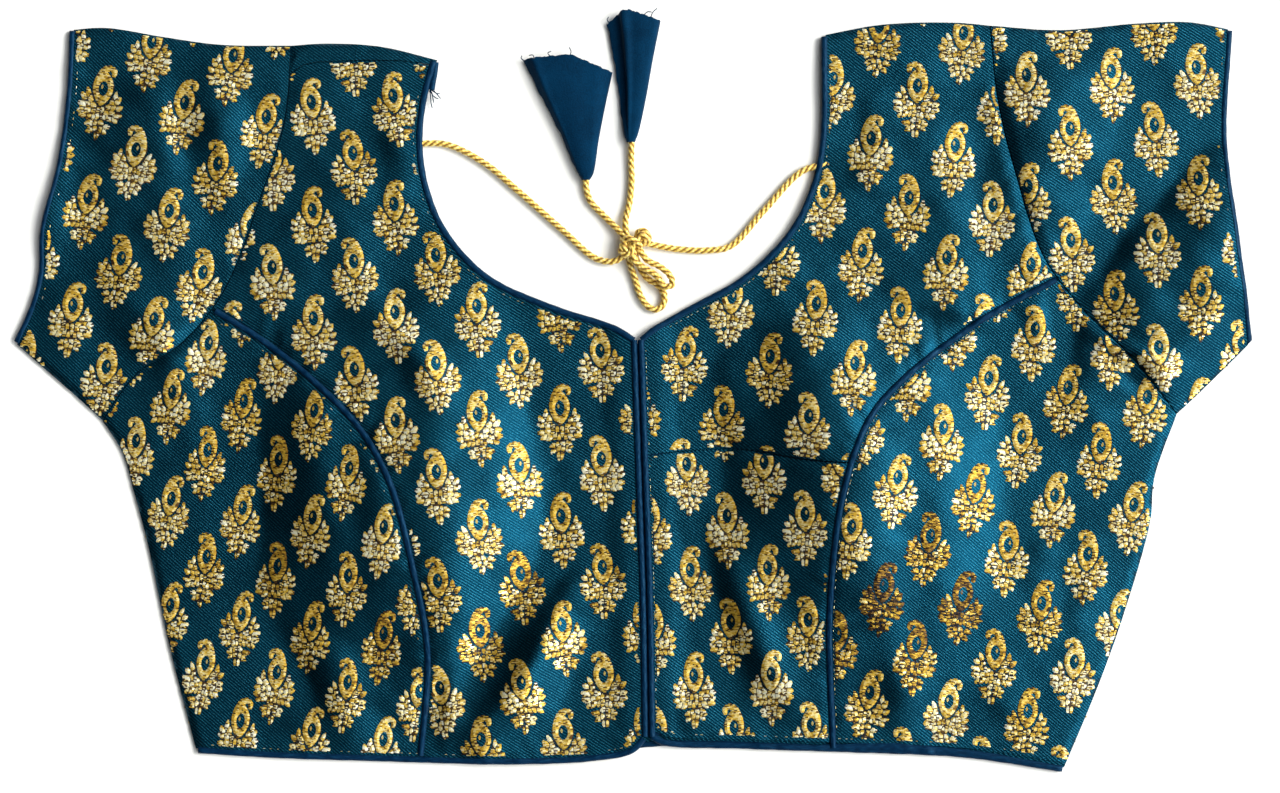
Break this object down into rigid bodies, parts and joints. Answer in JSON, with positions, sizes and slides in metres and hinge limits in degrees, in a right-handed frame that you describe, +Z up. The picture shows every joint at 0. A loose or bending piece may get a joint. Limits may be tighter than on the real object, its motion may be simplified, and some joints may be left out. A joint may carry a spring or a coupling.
{
  "type": "choli blouse laid flat",
  "caption": "Princess-cut choli blouse with short sleeves, front opening, contrast piping and a tied back cord with tassels, laid flat.",
  "frame": {"origin": "middle of the blouse's box on the surface that it lies on, without the cord", "axes": "+X to the right as seen from above, along the sleeves; +Y towards the neck; +Z up, out of the front"},
  "size_m": [0.557, 0.3416, 0.0087],
  "materials": {
    "brocade": "peacock-teal satin brocade with a twill line and woven gold paisley sprays",
    "navy_satin": "navy satin, soft sheen",
    "gold_cord": "twisted yellow-gold cord"
  },
  "bodies": {
    "root": {"back": "brocade", "front_centre_left": "brocade", "front_side_left": "brocade", "front_centre_right_upper": "brocade", "front_centre_right_lower": "brocade", "front_side_right": "brocade", "sleeve_left": "brocade", "sleeve_right": "brocade", "underlap": "navy_satin", "piping_princess_left": "navy_satin", "piping_princess_right": "navy_satin", "piping_neck_left": "navy_satin", "piping_neck_right": "navy_satin", "piping_neck_back": "navy_satin", "piping_opening_left": "navy_satin", "piping_opening_right": "navy_satin", "piping_cuff_left": "navy_satin", "piping_cuff_right": "navy_satin", "piping_hem_left": "navy_satin", "piping_hem_right": "navy_satin", "piping_hem_back": "navy_satin", "tassel_left": "navy_satin", "tassel_right": "navy_satin", "dori_left": "gold_cord", "dori_right": "gold_cord", "dori_knot": "gold_cord", "bow_loop_long": "gold_cord", "bow_loop_short": "gold_cord", "tail_left": "gold_cord", "tail_right": "gold_cord"}
  },
  "joints": []
}
